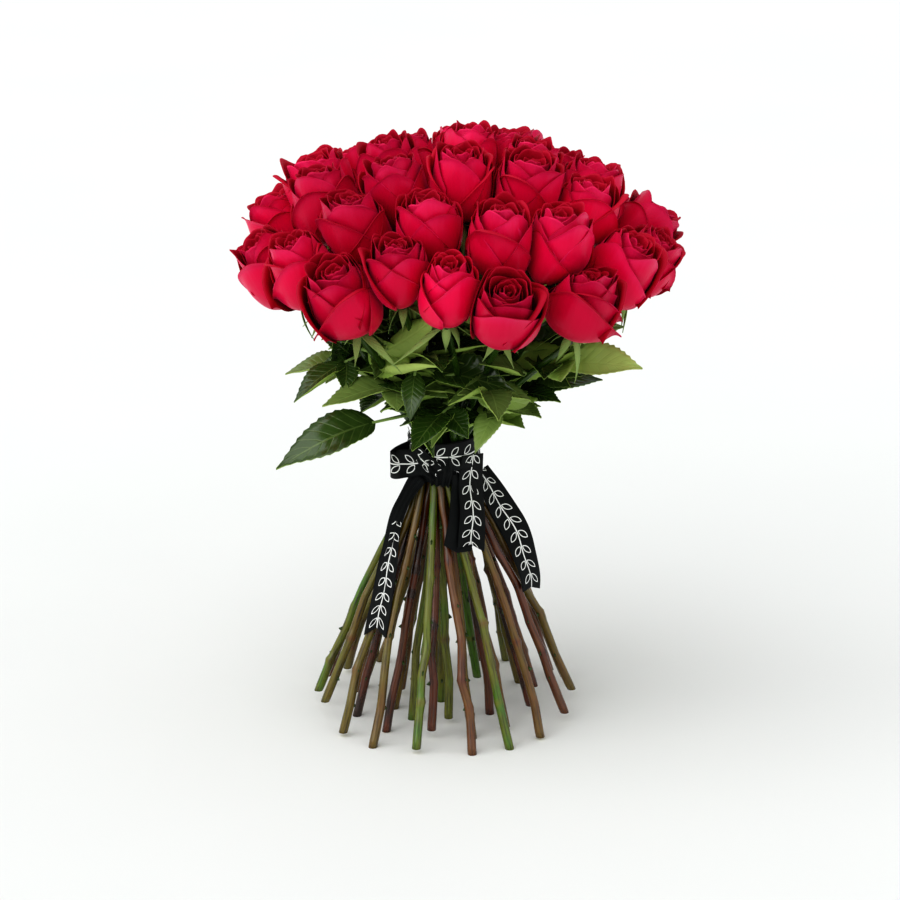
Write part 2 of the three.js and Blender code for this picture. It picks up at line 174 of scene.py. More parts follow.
def placed(points):
    """Points of the upright bunch as the leaning one has them, in metres in the frame."""
    out = np.array(points, float)
    out[:, 0] += DOME_LEAN * smooth_step(out[:, 2], BAND_HIGH, RIM_HEIGHT)
    return out * MM + np.array(AXIS)


def ways_along(points):
    ways = np.gradient(points, axis=0)
    return ways / np.linalg.norm(ways, axis=1)[:, None]


def set_points(verts, points):
    for vert, point in zip(verts, points):
        vert.co = point


def make_piece(name, bm, finishes, nodes):
    """A piece on the frame's body that stands for solids."""
    set_points(bm.verts, placed([v.co for v in bm.verts]))
    for face in bm.faces:
        face.smooth = True
    mesh = bpy.data.meshes.new(name)
    bm.to_mesh(mesh)
    bm.free()
    for finish in finishes:
        mesh.materials.append(finish)
    piece = new_object(name, mesh)
    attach(piece, "root")
    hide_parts(*nodes)
    return piece


def thicken(piece, offset):
    """Gives a sheet its thickness. Its other side and its rim take the next finish."""
    shell = piece.modifiers.new("Thickness", "SOLIDIFY")
    shell.thickness = SHEET_THICKNESS * MM
    shell.offset = offset
    shell.material_offset = 1
    shell.material_offset_rim = 1


def grid(bm, columns, rows):
    """A flat sheet of faces: its vertices, with u across from -1 to 1 and v along from 0 to 1."""
    verts = bmesh.ops.create_grid(bm, x_segments=columns, y_segments=rows, size=1, calc_uvs=True)["verts"]
    u = np.array([vert.co.x for vert in verts])
    v = np.array([vert.co.y for vert in verts]) / 2 + 0.5
    return verts, u, v


def cone(bm, sides, top, tall):
    """A cone along Z round the origin, with a lower radius of 1: its vertices."""
    return bmesh.ops.create_cone(bm, cap_ends=True, cap_tris=False, segments=sides, radius1=1, radius2=top,
                                 depth=tall, calc_uvs=True)["verts"]


def faces_of(verts):
    return {face for vert in verts for face in vert.link_faces}


# ---------- materials


def colour(hex_value):
    """Linear RGBA of an sRGB hex value."""
    parts = [int(hex_value[i:i + 2], 16) / 255 for i in (1, 3, 5)]
    return tuple(c / 12.92 if c <= 0.04045 else ((c + 0.055) / 1.055) ** 2.4 for c in parts) + (1,)


def new_finish(name):
    finish = bpy.data.materials.new(name)
    finish.use_nodes = True
    return finish


def fill_inputs(finish, node, inputs):
    """Gives a node its inputs, each a value or another node's output."""
    for key, value in inputs.items():
        if isinstance(value, bpy.types.NodeSocket):
            finish.node_tree.links.new(value, node.inputs[key])
        else:
            node.inputs[key].default_value = value


def set_surface(finish, **inputs):
    """Gives the surface shader its constants and its patterns."""
    shader = finish.node_tree.nodes["Principled BSDF"]
    fill_inputs(finish, shader, {key.replace("_", " "): value for key, value in inputs.items()})


def add_node(finish, kind, inputs, output=0, stops=(), **settings):
    """Adds a node with its settings, its inputs by name or by place, and the stops of its colour ramp. Gives
    back one of its outputs."""
    node = finish.node_tree.nodes.new(kind)
    for key, value in settings.items():
        setattr(node, key, value)
    fill_inputs(finish, node, inputs if isinstance(inputs, dict) else dict(enumerate(inputs)))
    for _ in stops[2:]:
        node.color_ramp.elements.new(0.5)
    for element, (place, shade) in zip(node.color_ramp.elements if stops else (), stops):
        element.position = place
        element.color = colour(shade)
    return node.outputs[output]


def petal_finish(name, ramp_with_painted_shade, roughness, sheen):
    """Living rose petal. Its colour darkens towards its base, painted shade for the bloom's deep inside.
    Its outside is satin and turns the light pink, and its inside is velvety and deeper red. Fine veins,
    about 2 mm apart, run along it."""
    finish = new_finish(name)
    uv = add_node(finish, "ShaderNodeUVMap", {})
    along = add_node(finish, "ShaderNodeSeparateXYZ", [uv], 1)
    tone = add_node(finish, "ShaderNodeAttribute", {}, "Fac", attribute_name="tone")
    fine = add_node(finish, "ShaderNodeMapping", {"Vector": uv, "Scale": (26, 1.6, 1)})
    veins = add_node(finish, "ShaderNodeTexNoise", {"Vector": fine, "Scale": 1.0, "Detail": 3.0})
    place = add_node(finish, "ShaderNodeMath", [veins, 0.16, along], operation="MULTIPLY_ADD")
    # the ramp's dark colours at the petal's base are painted shade for the bloom's deep inside
    body = add_node(finish, "ShaderNodeValToRGB", [place], stops=list(zip((0.02, 0.3, 0.75, 1.0), ramp_with_painted_shade)))
    # the tone darkens the red: it varies at random from bloom to bloom and petal to petal, and its small rise
    # towards the heart is painted shade
    toned = add_node(finish, "ShaderNodeMath", [tone, 0.6], operation="MULTIPLY")
    varied = add_node(finish, "ShaderNodeMix", {0: toned, 6: body, 7: colour("#940020")}, 2, data_type="RGBA")
    bump = add_node(finish, "ShaderNodeBump", {"Height": veins, "Distance": 0.25 * MM, "Strength": 1.0})
    set_surface(finish, Base_Color=varied, Normal=bump, Roughness=roughness, Specular_IOR_Level=0.8,
                Specular_Tint=colour("#ff9cc0"), Sheen_Weight=sheen, Sheen_Roughness=0.4,
                Sheen_Tint=colour("#ff4f8a"), IOR=1.4)
    return finish


def stem_finish():
    """Rose bark: a waxy green shoot above the tie, and below it ripened to a glossy brown-red, olive or green
    in blotches, with dark streaks about 2 mm wide and 30 mm long."""
    finish = new_finish("rose_stem_bark")
    uv = add_node(finish, "ShaderNodeUVMap", {})
    along = add_node(finish, "ShaderNodeSeparateXYZ", [uv], 1)
    tone = add_node(finish, "ShaderNodeAttribute", {}, "Fac", attribute_name="tone")
    lengthwise = add_node(finish, "ShaderNodeMapping", {"Vector": uv, "Scale": (12, 15, 1)})
    streaks = add_node(finish, "ShaderNodeTexNoise", {
        "Vector": lengthwise, "Scale": 1.0, "Detail": 5.0, "Roughness": 0.62})
    place = add_node(finish, "ShaderNodeTexCoord", {}, "Object")
    upright = add_node(finish, "ShaderNodeMapping", {"Vector": place, "Scale": (60, 60, 16)})
    blotches = add_node(finish, "ShaderNodeTexNoise", {"Vector": upright, "Scale": 1.0, "Detail": 3.0})
    shift = add_node(finish, "ShaderNodeMath", [blotches, 0.8, -0.4], operation="MULTIPLY_ADD")
    patchy = add_node(finish, "ShaderNodeMath", [tone, shift], operation="ADD")
    ripe = add_node(finish, "ShaderNodeValToRGB", [patchy], stops=[
        (0.0, "#34190c"), (0.1, "#642f16"), (0.32, "#734a1d"), (0.6, "#6f601b"), (0.85, "#6a7218"),
        (1.0, "#4e7614")])
    dark = add_node(finish, "ShaderNodeMapRange", [streaks, 0.46, 0.68, 0.0, 0.8])
    shade = add_node(finish, "ShaderNodeMix", {0: dark, 6: ripe, 7: colour("#1c0f08")}, 2, data_type="RGBA")
    young = add_node(finish, "ShaderNodeMix", {0: streaks, 6: colour("#22350e"), 7: colour("#3f5e1e")}, 2,
                     data_type="RGBA")
    height = add_node(finish, "ShaderNodeMapRange", [along, 0.42, 0.56, 0.0, 1.0])
    skin = add_node(finish, "ShaderNodeMix", {0: height, 6: shade, 7: young}, 2, data_type="RGBA")
    bump = add_node(finish, "ShaderNodeBump", {"Height": streaks, "Distance": 0.4 * MM, "Strength": 1.0})
    set_surface(finish, Base_Color=skin, Normal=bump, Roughness=0.22, Specular_IOR_Level=1.0, IOR=1.45)
    return finish


def pith_finish():
    """Freshly cut stem end: pale damp pith."""
    finish = new_finish("rose_stem_cut_end")
    place = add_node(finish, "ShaderNodeTexCoord", {}, "Object")
    cells = add_node(finish, "ShaderNodeTexNoise", {"Vector": place, "Scale": 900.0, "Detail": 3.0})
    shade = add_node(finish, "ShaderNodeValToRGB", [cells], stops=[(0.3, "#a99f6c"), (0.7, "#d9d3a6")])
    set_surface(finish, Base_Color=shade, Roughness=0.7, Specular_IOR_Level=0.3, IOR=1.4)
    return finish


SIDE_VEINS = 9.0  # pairs of side veins in the length of a leaf


def leaf_finish(name, blade, tip, vein, roughness, gloss):
    """Rose leaf: a fold along the rib, side veins that run to the teeth, and lighter patches. Where its tone
    is high the leaf is as pale as its veins."""
    finish = new_finish(name)
    uv = add_node(finish, "ShaderNodeUVMap", {})
    across = add_node(finish, "ShaderNodeSeparateXYZ", [uv], 0)
    along = across.node.outputs[1]
    tone = add_node(finish, "ShaderNodeAttribute", {}, "Fac", attribute_name="tone")
    side = add_node(finish, "ShaderNodeMath", [across, 0.5], operation="SUBTRACT")
    off_rib = add_node(finish, "ShaderNodeMath", [side], operation="ABSOLUTE")
    slanted = add_node(finish, "ShaderNodeMath", [off_rib, -0.42, along], operation="MULTIPLY_ADD")
    repeated = add_node(finish, "ShaderNodeMath", [slanted, SIDE_VEINS], operation="MULTIPLY")
    wave = add_node(finish, "ShaderNodeMath", [repeated, 0.5], operation="PINGPONG")
    side_vein = add_node(finish, "ShaderNodeMapRange", [wave, 0.1, 0.0, 0.0, 0.75])
    rib = add_node(finish, "ShaderNodeMapRange", [off_rib, 0.035, 0.012, 0.0, 1.0])
    veins = add_node(finish, "ShaderNodeMath", [side_vein, rib], operation="MAXIMUM")
    place = add_node(finish, "ShaderNodeTexCoord", {}, "Object")
    patches = add_node(finish, "ShaderNodeTexNoise", {"Vector": place, "Scale": 45.0, "Detail": 3.0})
    body = add_node(finish, "ShaderNodeMix", {0: patches, 6: colour(blade), 7: colour(tip)}, 2,
                    data_type="RGBA")
    ageing = add_node(finish, "ShaderNodeMath", [tone, 0.8], operation="MULTIPLY")
    toned = add_node(finish, "ShaderNodeMix", {0: ageing, 6: body, 7: colour(vein)}, 2, data_type="RGBA")
    faint = add_node(finish, "ShaderNodeMath", [veins, 0.13], operation="MULTIPLY")
    drawn = add_node(finish, "ShaderNodeMix", {0: faint, 6: toned, 7: colour(vein)}, 2, data_type="RGBA")
    grooves = add_node(finish, "ShaderNodeMath", [veins, -0.5, wave], operation="MULTIPLY_ADD")
    bump = add_node(finish, "ShaderNodeBump", {"Height": grooves, "Distance": 0.28 * MM, "Strength": 1.0})
    set_surface(finish, Base_Color=drawn, Normal=bump, Roughness=roughness, Specular_IOR_Level=gloss,
                IOR=1.45)
    return finish


# The ribbon's vine: half of what repeats, a leaf's middle and lean, the circle that each side of a leaf is
# part of, and half the width of the lines.
VINE_HALF_STEP = 6.6
VINE_LEAF = (4.6, 0.5, 0)
VINE_LEAF_TURN = -42
VINE_CIRCLE = 6.3
VINE_CIRCLE_OFF = 4.1
VINE_OUTLINE_HALF = 0.42
VINE_STALK_HALF = 0.6


def ribbon_finish(name, ink):
    """Woven taffeta ribbon, near-black. The face is printed with a generic vine of outlined leaves in
    opposite pairs along a stalk. The UV map holds millimetres from the stalk and along the ribbon. The
    weave's ribs are 0.6 mm apart, about twice the real spacing, so that they show."""
    finish = new_finish(name)
    uv = add_node(finish, "ShaderNodeUVMap", {})
    weft = add_node(finish, "ShaderNodeTexWave", {"Vector": uv, "Scale": 0.55}, "Fac", wave_type="BANDS",
                    bands_direction="Y")
    cloth = add_node(finish, "ShaderNodeMix", {0: weft, 6: colour("#05080a"), 7: colour("#101416")}, 2,
                     data_type="RGBA")
    repeated = add_node(finish, "ShaderNodeVectorMath", [
        uv, (50, VINE_HALF_STEP, 1), (-50, -VINE_HALF_STEP, -1)], operation="WRAP")
    flipped = add_node(finish, "ShaderNodeVectorMath", [repeated, (-1, 1, 1)], operation="MULTIPLY")
    paired = add_node(finish, "ShaderNodeVectorMath", [repeated, flipped], operation="MAXIMUM")
    leafwise = add_node(finish, "ShaderNodeMapping", {
        "Vector": paired, "Location": VINE_LEAF, "Rotation": (0, 0, math.radians(VINE_LEAF_TURN))},
        vector_type="TEXTURE")
    folded = add_node(finish, "ShaderNodeVectorMath", [leafwise], operation="ABSOLUTE")
    # Each side of a leaf is part of a circle, so the distance from its centre draws the outline.
    reach = add_node(finish, "ShaderNodeVectorMath", [folded, (-VINE_CIRCLE_OFF, 0, 0)], "Value",
                     operation="DISTANCE")
    outline = add_node(finish, "ShaderNodeMath", [reach, VINE_CIRCLE, VINE_OUTLINE_HALF], operation="COMPARE")
    off_stalk = add_node(finish, "ShaderNodeSeparateXYZ", [paired], 0)
    stalk = add_node(finish, "ShaderNodeMath", [off_stalk, VINE_STALK_HALF], operation="LESS_THAN")
    vine = add_node(finish, "ShaderNodeMath", [outline, stalk], operation="MAXIMUM")
    run = add_node(finish, "ShaderNodeSeparateXYZ", [uv], 1)
    printed = add_node(finish, "ShaderNodeMath", [run, 0.0], operation="GREATER_THAN")
    inked = add_node(finish, "ShaderNodeMath", [printed, ink], operation="MULTIPLY")
    share = add_node(finish, "ShaderNodeMath", [vine, inked], operation="MULTIPLY")
    skin = add_node(finish, "ShaderNodeMix", {0: share, 6: cloth, 7: colour("#f4f5f3")}, 2, data_type="RGBA")
    bump = add_node(finish, "ShaderNodeBump", {"Height": weft, "Distance": 0.12 * MM, "Strength": 1.0})
    set_surface(finish, Base_Color=skin, Normal=bump, Roughness=0.52, Specular_IOR_Level=0.3, IOR=1.5)
    return finish


def floor_finish():
    """Matt white painted board."""
    finish = new_finish("matt_white_board")
    place = add_node(finish, "ShaderNodeTexCoord", {}, "Object")
    cloudy = add_node(finish, "ShaderNodeTexNoise", {"Vector": place, "Scale": 3.0})
    shade = add_node(finish, "ShaderNodeMix", {0: cloudy, 6: colour("#e6e7e6"), 7: colour("#eaebea")}, 2,
                     data_type="RGBA")
    set_surface(finish, Base_Color=shade, Roughness=1.0, Specular_IOR_Level=0.0)
    return finish


# ---------- camera and studio

CAMERA_PITCH = 18.7
CAMERA_LENS = 150.64
CAMERA_DISTANCE = 3.318  # metres, as are the next two and the floor's
AIM_UP = 0.2229
AIM_RIGHT = 0.0044
FLOOR_HALF = 20


def make_camera():
    """A long lens that looks down at the bunch from the front."""
    pitch = math.radians(CAMERA_PITCH)
    way = Vector((0, math.cos(pitch), -math.sin(pitch)))
    up = Vector((0, math.sin(pitch), math.cos(pitch)))
    data = bpy.data.cameras.new("camera")
    data.sensor_width = 36
    data.lens = CAMERA_LENS
    camera = new_object("camera", data)
    camera.location = AXIS + up * AIM_UP + Vector((AIM_RIGHT, 0, 0)) - way * CAMERA_DISTANCE
    camera.rotation_euler = (math.radians(90) - pitch, 0, 0)
    bpy.context.scene.camera = camera


def make_light(name, place, width, power):
    """A wide soft light that falls evenly on the whole floor."""
    data = bpy.data.lights.new(name, "SUN")
    data.angle = math.radians(width)
    data.energy = power
    light = new_object(name, data)
    light.location = place
    light.rotation_euler = (-Vector(place)).to_track_quat("-Z", "Y").to_euler()


def make_studio():
    """The pale floor, an even pale sky and three soft lights."""
    bm = bmesh.new()
    bmesh.ops.create_grid(bm, x_segments=8, y_segments=8, size=FLOOR_HALF)
    mesh = bpy.data.meshes.new("floor")
    bm.to_mesh(mesh)
    bm.free()
    mesh.materials.append(floor_finish())
    floor = new_object("floor", mesh)
    world = bpy.data.worlds.new("studio")
    world.use_nodes = True
    back = world.node_tree.nodes["Background"]
    back.inputs["Color"].default_value = colour("#f4f6f6")
    back.inputs["Strength"].default_value = 0.6
    bpy.context.scene.world = world
    make_light("key", (-1.3, -1.1, 2.1), 75, 1.1)
    make_light("fill", (2.0, -1.6, 0.8), 80, 0.28)
    make_light("side", (-2.2, -1.0, 0.5), 80, 0.2)
    bpy.context.scene.view_settings.view_transform = "Standard"
    bpy.context.scene.view_settings.look = "High Contrast"


# ---------- layout


def lay_out_roses():
    """The blooms' places, directions and sizes, in the order of the solids."""
    roses = []
    for level, ring in enumerate(STEM_RINGS):
        for slot in range(ring["count"]):
            turn, rise, reach, tip, growth = POISE[level].get(slot, (0, 0, 0, 0, 1))
            regular = ring["phase"] + slot * 360 / ring["count"]
            azimuth = regular + turn + layout_spread(1.5)
            radius = ring["dome"] + reach + layout_spread(3)
            drop = DOME_RADIUS - math.sqrt(DOME_RADIUS ** 2 - ring["dome"] ** 2)
            centre = at_azimuth(radius, azimuth, DOME_APEX - drop + rise + layout_spread(3))
            facing = azimuth + layout_spread(12)
            axis = leaning(facing, ring["tilt"] + tip + layout_spread(4))
            size = growth + layout_spread(0.05)
            openness = 0.5 + layout_spread(0.5)
            spin = layout_random() * 72
            roses.append({"level": level, "slot": slot, "regular": regular, "centre": centre, "axis": axis,
                          "base": centre - BLOOM_SINK * axis, "size": size * RING_GROWTH[level],
                          "open": openness, "spin": spin})
    return roses


def waist_azimuth(ring, slot):
    """Neighbours of a group stand close at the waist, and groups stand apart."""
    step = 2 * math.degrees(math.asin(STEM_SPACING / 2 / ring["waist"])) if ring["groups"] else 0
    first = 0
    for size in ring["groups"]:
        if slot < first + size:
            middle = first + (size - 1) / 2
            return ring["phase"] + middle * 360 / ring["count"] + (slot - middle) * step
        first += size
    return ring["phase"]


def twist_at(height):
    """How far the spiral has turned at a height."""
    along = ((BAND_LOW + BAND_HIGH) / 2 - height) / TWIST_LENGTH
    return TWIST_TURN * along / math.hypot(1, along)


def flare_at(drop):
    """How far the stems have spread, at a share of the way down from the tie to their feet."""
    return drop + FLARE_BULGE * drop ** 2 * (1 - drop)


def stem_route(rose):
    """The stem's centre line as (radius, azimuth, height) stations, from its cut foot to its neck."""
    ring = STEM_RINGS[rose["level"]]
    rim = rose["level"] == 3
    neck = rose["base"] - HIP_LENGTH * rose["axis"]
    neck_radius = math.hypot(neck[0], neck[1])
    neck_azimuth = azimuth_of(neck)
    waist = waist_azimuth(ring, rose["slot"]) - twist_at(neck[2])
    foot_turn = rose["regular"] - twist_at(neck[2]) + layout_spread(4 if rim else 7) - waist
    head_turn = (neck_azimuth - waist - twist_at(neck[2]) + 540) % 360 - 180
    sideways = math.sin(math.radians(waist + twist_at(0) + foot_turn))
    lift = max(0, layout_spread(9) - 3) if rim else max(0, layout_spread(14))
    if rim:
        lift += SIDE_LIFT * max(0, 2 * abs(sideways) - 1) ** 2
    stations = []
    for height in [lift] + FOOT_HEIGHTS:
        drop = (BAND_LOW - height) / BAND_LOW
        kink = 0 if height == lift else 1.6
        radius = ring["waist"] + (ring["foot"] - ring["waist"]) * flare_at(drop) + layout_spread(kink)
        stations.append((radius, waist + twist_at(height) + foot_turn * drop, height))
    for height in (BAND_LOW - TIE_MARGIN, BAND_HIGH + TIE_MARGIN):
        stations.append((ring["waist"], waist + twist_at(height), height))
    rise = neck[2] - BAND_HIGH
    lean = math.tan(math.acos(rose["axis"][2])) * rise
    run = neck_radius - ring["waist"]
    u = 0.5
    radius = (ring["waist"] + run * (3 * u ** 2 - 2 * u ** 3)
              + 0.12 * rose["level"] * rise * (u - 2 * u ** 2 + u ** 3) + lean * (u ** 3 - u ** 2))
    height = BAND_HIGH + rise * u
    stations.append((radius, waist + twist_at(height) + head_turn * u ** 2, height))
    stations.append((neck_radius, neck_azimuth, neck[2]))
    return stations


SPAN_STEPS = 24  # points of a smooth curve between two of the given ones


def curve_through(points, samples):
    """Points evenly along a smooth curve through the given ones, and the curve's length."""
    points = [np.array(p, float) for p in points]
    points = [2 * points[0] - points[1]] + points + [2 * points[-1] - points[-2]]
    fine = []
    for i in range(1, len(points) - 2):
        before, start, end, after = points[i - 1:i + 3]
        for t in np.linspace(0, 1, SPAN_STEPS, endpoint=False):
            squared = (2 * before - 5 * start + 4 * end - after) * t ** 2
            cubed = (3 * start - before - 3 * end + after) * t ** 3
            fine.append(0.5 * (2 * start + (end - before) * t + squared + cubed))
    fine.append(points[-2])
    fine = np.array(fine)
    runs = np.concatenate([[0], np.cumsum(np.linalg.norm(np.diff(fine, axis=0), axis=1))])
    even = np.linspace(0, runs[-1], samples)
    return np.stack([np.interp(even, runs, fine[:, i]) for i in range(3)], axis=1), runs[-1]


# ---------- blooms

PETALS = 24
PETAL_TURN = 137.5  # the turn from one petal to the next that growth gives
OUTER_PETALS = 9  # these are meshed finer along, and the rest finer across
OUTER_GRID = (9, 11)
INNER_GRID = (11, 7)
ROLLED_PETALS = 6
# A petal from the side: how far it is from the axis, as a share of its reach, along its length.
BOWL_SHARES = [0, 0.04, 0.12, 0.24, 0.38, 0.5, 0.7, 1]
BOWL_REACHES = [0, 0.36, 0.7, 0.9, 0.99, 1, 0.98, 0.93]
NEAR_BLOOMS = 140  # blooms further apart than this don't press each other


def pressed(points, rose, roses):
    """Petals press against the neighbouring blooms instead of passing through them."""
    away = points - rose["centre"]
    distance = np.linalg.norm(away, axis=1)
    way = away / distance[:, None]
    reach = np.full(len(points), 200.0)
    for other in roses:
        between = other["centre"] - rose["centre"]
        gap = np.linalg.norm(between)
        if gap == 0 or gap > NEAR_BLOOMS:
            continue
        facing = way @ between / gap
        ahead = facing > 0.001
        reach[ahead] = np.minimum(reach[ahead], (gap / 2 - CELL_GAP / 2) / facing[ahead])
    share = distance / reach
    squeezed = distance / (1 + share ** CELL_POWER) ** (1 / CELL_POWER)
    return rose["centre"] + way * squeezed[:, None]


def petal_shape(u, v, inward, openness, rolled):
    """Radius from the bloom's axis, height above its base and turn round it, over one petal. Inward runs
    from 0 at the outermost petal to 1 at the heart, and rolled is how far its rim is bent out."""
    outer = 1 - inward
    reach = 2.0 + (27.5 + 4 * openness) * outer ** 0.85
    tall = float(np.interp(inward, [0, 0.12, 0.3, 0.5, 0.8, 1], [55, 59, 63, 62, 59.5, 56]))
    base = 2 + 5 * outer
    span = math.radians(float(np.interp(inward, [0, 0.2, 0.35, 0.7, 1], [82, 80, 74, 80, 120])))
    fall = float(np.interp(inward, [0, 0.2, 0.4, 0.7, 1], [0.5, 0.44, 0.24, 0.14, 0.1]))
    run = v * tall * (1 - fall * np.abs(u) ** 1.9)
    share = run / tall
    bowl = np.interp(share, BOWL_SHARES, BOWL_REACHES)
    close = float(np.interp(inward, [0, 0.3, 0.7, 1], [0.14, 0.24, 0.26, 0.3])) * (1 - 0.8 * openness)
    radius = base + (reach - base) * bowl
    radius *= 1 - close * np.clip((share - 0.45) / 0.5, 0, 1) ** 1.4
    # from its start the rim bends outwards, round a curl
    curl = 1.6 + 2.2 * rolled
    edge = tall * (1 - fall * np.abs(u) ** 1.9)
    start = edge - tall * (0.02 + 0.12 * rolled + 0.13 * rolled * np.abs(u) ** 1.5)
    past = np.clip(run - start, 0, None)
    angle = np.minimum(past / curl, 0.8 + 1.5 * rolled)
    height = np.where(past > 0, start + curl * np.sin(angle), run)
    radius += np.where(past > 0, curl * (1 - np.cos(angle)), 0)
    turn = u * span * (0.45 + 0.55 * np.sin(math.pi / 2 * np.clip(v / 0.4, 0, 1)))
    return radius, height, turn


def make_bloom(rose, roses, name, finishes):
    """Petals one after the other from the outermost to the heart, each turned on from the last."""
    bm, tone = new_shape()
    axis = rose["axis"]
    side = unit(np.cross((0, 0, 1), axis))
    away = np.cross(axis, side)
    rose_tone = looks.uniform(-0.1, 0.6)
    for index in range(PETALS):
        inward = index / (PETALS - 1)
        outer = 1 - inward
        verts, u, v = grid(bm, *(OUTER_GRID if index < OUTER_PETALS else INNER_GRID))
        v = 1 - (1 - v) ** 1.5
        rolled = looks.uniform(0.1, 1) if index < ROLLED_PETALS else looks.uniform(0.05, 0.5) * outer
        openness = min(1, max(0, rose["open"] + spread(0.25)))
        radius, height, turn = petal_shape(u, v, inward, openness, rolled)
        # the rim waves in and out, and up and down
        phase = looks.uniform(0, 2 * math.pi)
        rim = v ** 5
        radius += (0.5 + 0.6 * outer) * rim * np.sin((7 - 2 * outer) * u + phase)
        height += (1.0 + 0.8 * outer) * rim * np.cos((8.5 - 3 * outer) * u + 1.7 * phase)
        # its middle rises to a point that folds back
        point = np.exp(-((u - spread(0.2)) / 0.16) ** 2) * v ** 9
        height += 3.4 * outer * point
        radius += 4.5 * outer * point * rolled
        # one side lies over the next petal, both sides stand off, and the rim is crumpled
        radius += (0.3 + 0.9 * outer) * u * np.clip(v * 3, 0, 1)
        radius += 1.4 * outer * np.clip((np.abs(u) - 0.72) / 0.28, 0, 1) ** 2 * np.clip(v * 1.6, 0, 1) ** 2
        radius += (0.55 + 0.5 * outer) * v ** 4 * np.sin(13 * u + 2.3 * phase)
        turn = turn + math.radians(rose["spin"] + index * PETAL_TURN + spread(20))
        height = height * (1 + spread(0.05))
        radius = np.maximum(radius * (1 + spread(0.05)), 0.8) * rose["size"]
        points = (rose["base"] + np.outer(height * rose["size"], axis)
                  + np.outer(radius * np.cos(turn), side) + np.outer(radius * np.sin(turn), away))
        points += [1.1 * noise_vector(Vector(p) / 14) for p in points]
        points += [share * noise_vector(Vector(p) / 5) for p, share in zip(points, 0.9 * v ** 3)]
        set_points(verts, pressed(points, rose, roses))
        # the tone varies at random, and its rise towards the heart is painted shade for the bloom's depth
        shade = rose_tone + looks.uniform(0, 0.3) + 0.1 * inward
        for vert in verts:
            vert[tone] = shade
    piece = make_piece(name + "_petals", bm, finishes, [name])
    rounding = piece.modifiers.new("Rounding", "SUBSURF")
    rounding.levels = rounding.render_levels = 1
    thicken(piece, 0)


# ---------- stems

STEM_SAMPLES = 92
STEM_SIDES = 10
STEM_NODES = 15
NODE_GAPS = (20, 42)
UV_RUN = 450  # the height that the bark's UV map covers from 0 to 1
# Half the hip's thickness, at distances below its top.
HIP_DROPS = [0, 2, 6, 10, 15]
HIP_HALVES = [4.6, 5.3, 5.0, 3.4, NECK_HALF]


def bark_half(height):
    """Half the stem's thickness at a height."""
    return float(np.interp(height, [0, 66, 138, BAND_LOW, BAND_HIGH, 340, 430],
                           [FOOT_HALF - 0.3, 3.6, 3.4, 3.4, 3.4, 2.9, NECK_HALF]))


def new_shape():
    """An empty shape with its UV map and the tone that varies its colour."""
    bm = bmesh.new()
    bm.loops.layers.uv.new("UVMap")
    return bm, bm.verts.layers.float.new("tone")


def take_in(bm, part):
    """Adds a shape to another, and empties it."""
    mesh = bpy.data.meshes.new("part")
    part.to_mesh(mesh)
    part.free()
    bm.from_mesh(mesh)
    bpy.data.meshes.remove(mesh)


def make_stem(group, rose):
    """A round stem that bends a little at its nodes, some of them swollen on one side, with thorns and the
    hip under its bloom."""
    bm, tone = new_shape()
    stations = [at_azimuth(*station) for station in rose["route"]]
    top = rose["base"] - 0.3 * rose["axis"]
    points, length = curve_through(stations + [rose["base"] - 4.4 * rose["axis"], top], STEM_SAMPLES)
    cone(bm, STEM_SIDES, 1, 2)
    sides = [e for e in bm.edges if abs(e.verts[0].co.z - e.verts[1].co.z) > 1]
    bmesh.ops.subdivide_edges(bm, edges=sides, cuts=STEM_SAMPLES - 2)
    nodes = np.cumsum([looks.uniform(*NODE_GAPS) for _ in range(STEM_NODES)])
    rose_tone = looks.random()
    kinks = [at_azimuth(looks.uniform(0.5, 2.6), looks.uniform(0, 360), 0) for _ in range(STEM_NODES)]
    buds = [looks.uniform(0, 2 * math.pi) for _ in range(STEM_NODES)]
    uv_layer = bm.loops.layers.uv.active
    runs = np.linspace(0, length, len(points))
    knots = np.concatenate([[0], nodes])
    offsets = np.stack([np.interp(runs, knots, [0] + [kink[i] for kink in kinks]) for i in range(3)], axis=1)
    # the stem is straight through the tie, at its foot and under its bloom
    off_tie = smooth_step(np.abs(points[:, 2] - (BAND_LOW + BAND_HIGH) / 2), 27, 45)
    free = off_tie * smooth_step(length - runs, 24, 45) * smooth_step(runs, 0, 12)
    points = points + offsets * free[:, None]
    along = ways_along(points)
    azimuth = rose["route"][0][1]
    for vert in bm.verts:
        index = int(round((vert.co.z + 1) / 2 * (len(points) - 1)))
        # the foot is cut level
        way = along[index] if index else np.array([0.0, 0.0, 1.0])
        sideways = at_azimuth(1, azimuth + 90, 0)
        sideways = unit(sideways - way * (sideways @ way))
        outward = np.cross(way, sideways)
        run = runs[index]
        angle = math.atan2(vert.co.y, vert.co.x)
        half = bark_half(points[index][2])
        to_top = length - run
        if to_top < HIP_LENGTH + 6:
            half = float(np.interp(to_top, HIP_DROPS, HIP_HALVES))
        bud = int(np.argmin(np.abs(nodes - run)))
        nearest = abs(nodes[bud] - run)
        strength = (buds[bud] / (2 * math.pi)) ** 2 * free[index]
        swelling = (0.3 + 0.3 * math.cos(angle - buds[bud])) * math.exp(-(nearest / 2.8) ** 2)
        half *= 1 + swelling * strength
        vert.co = points[index] + half * (math.cos(angle) * sideways + math.sin(angle) * outward)
        vert[tone] = rose_tone - 0.34 * math.exp(-(nearest / 1.6) ** 2) * strength
    for face in bm.faces:
        if len(face.verts) > 4:
            face.material_index = 1
            continue
        for loop in face.loops:
            loop[uv_layer].uv.y = loop.vert.co.z / UV_RUN
    take_in(group, bm)
    make_thorns(group, points, runs, nodes)


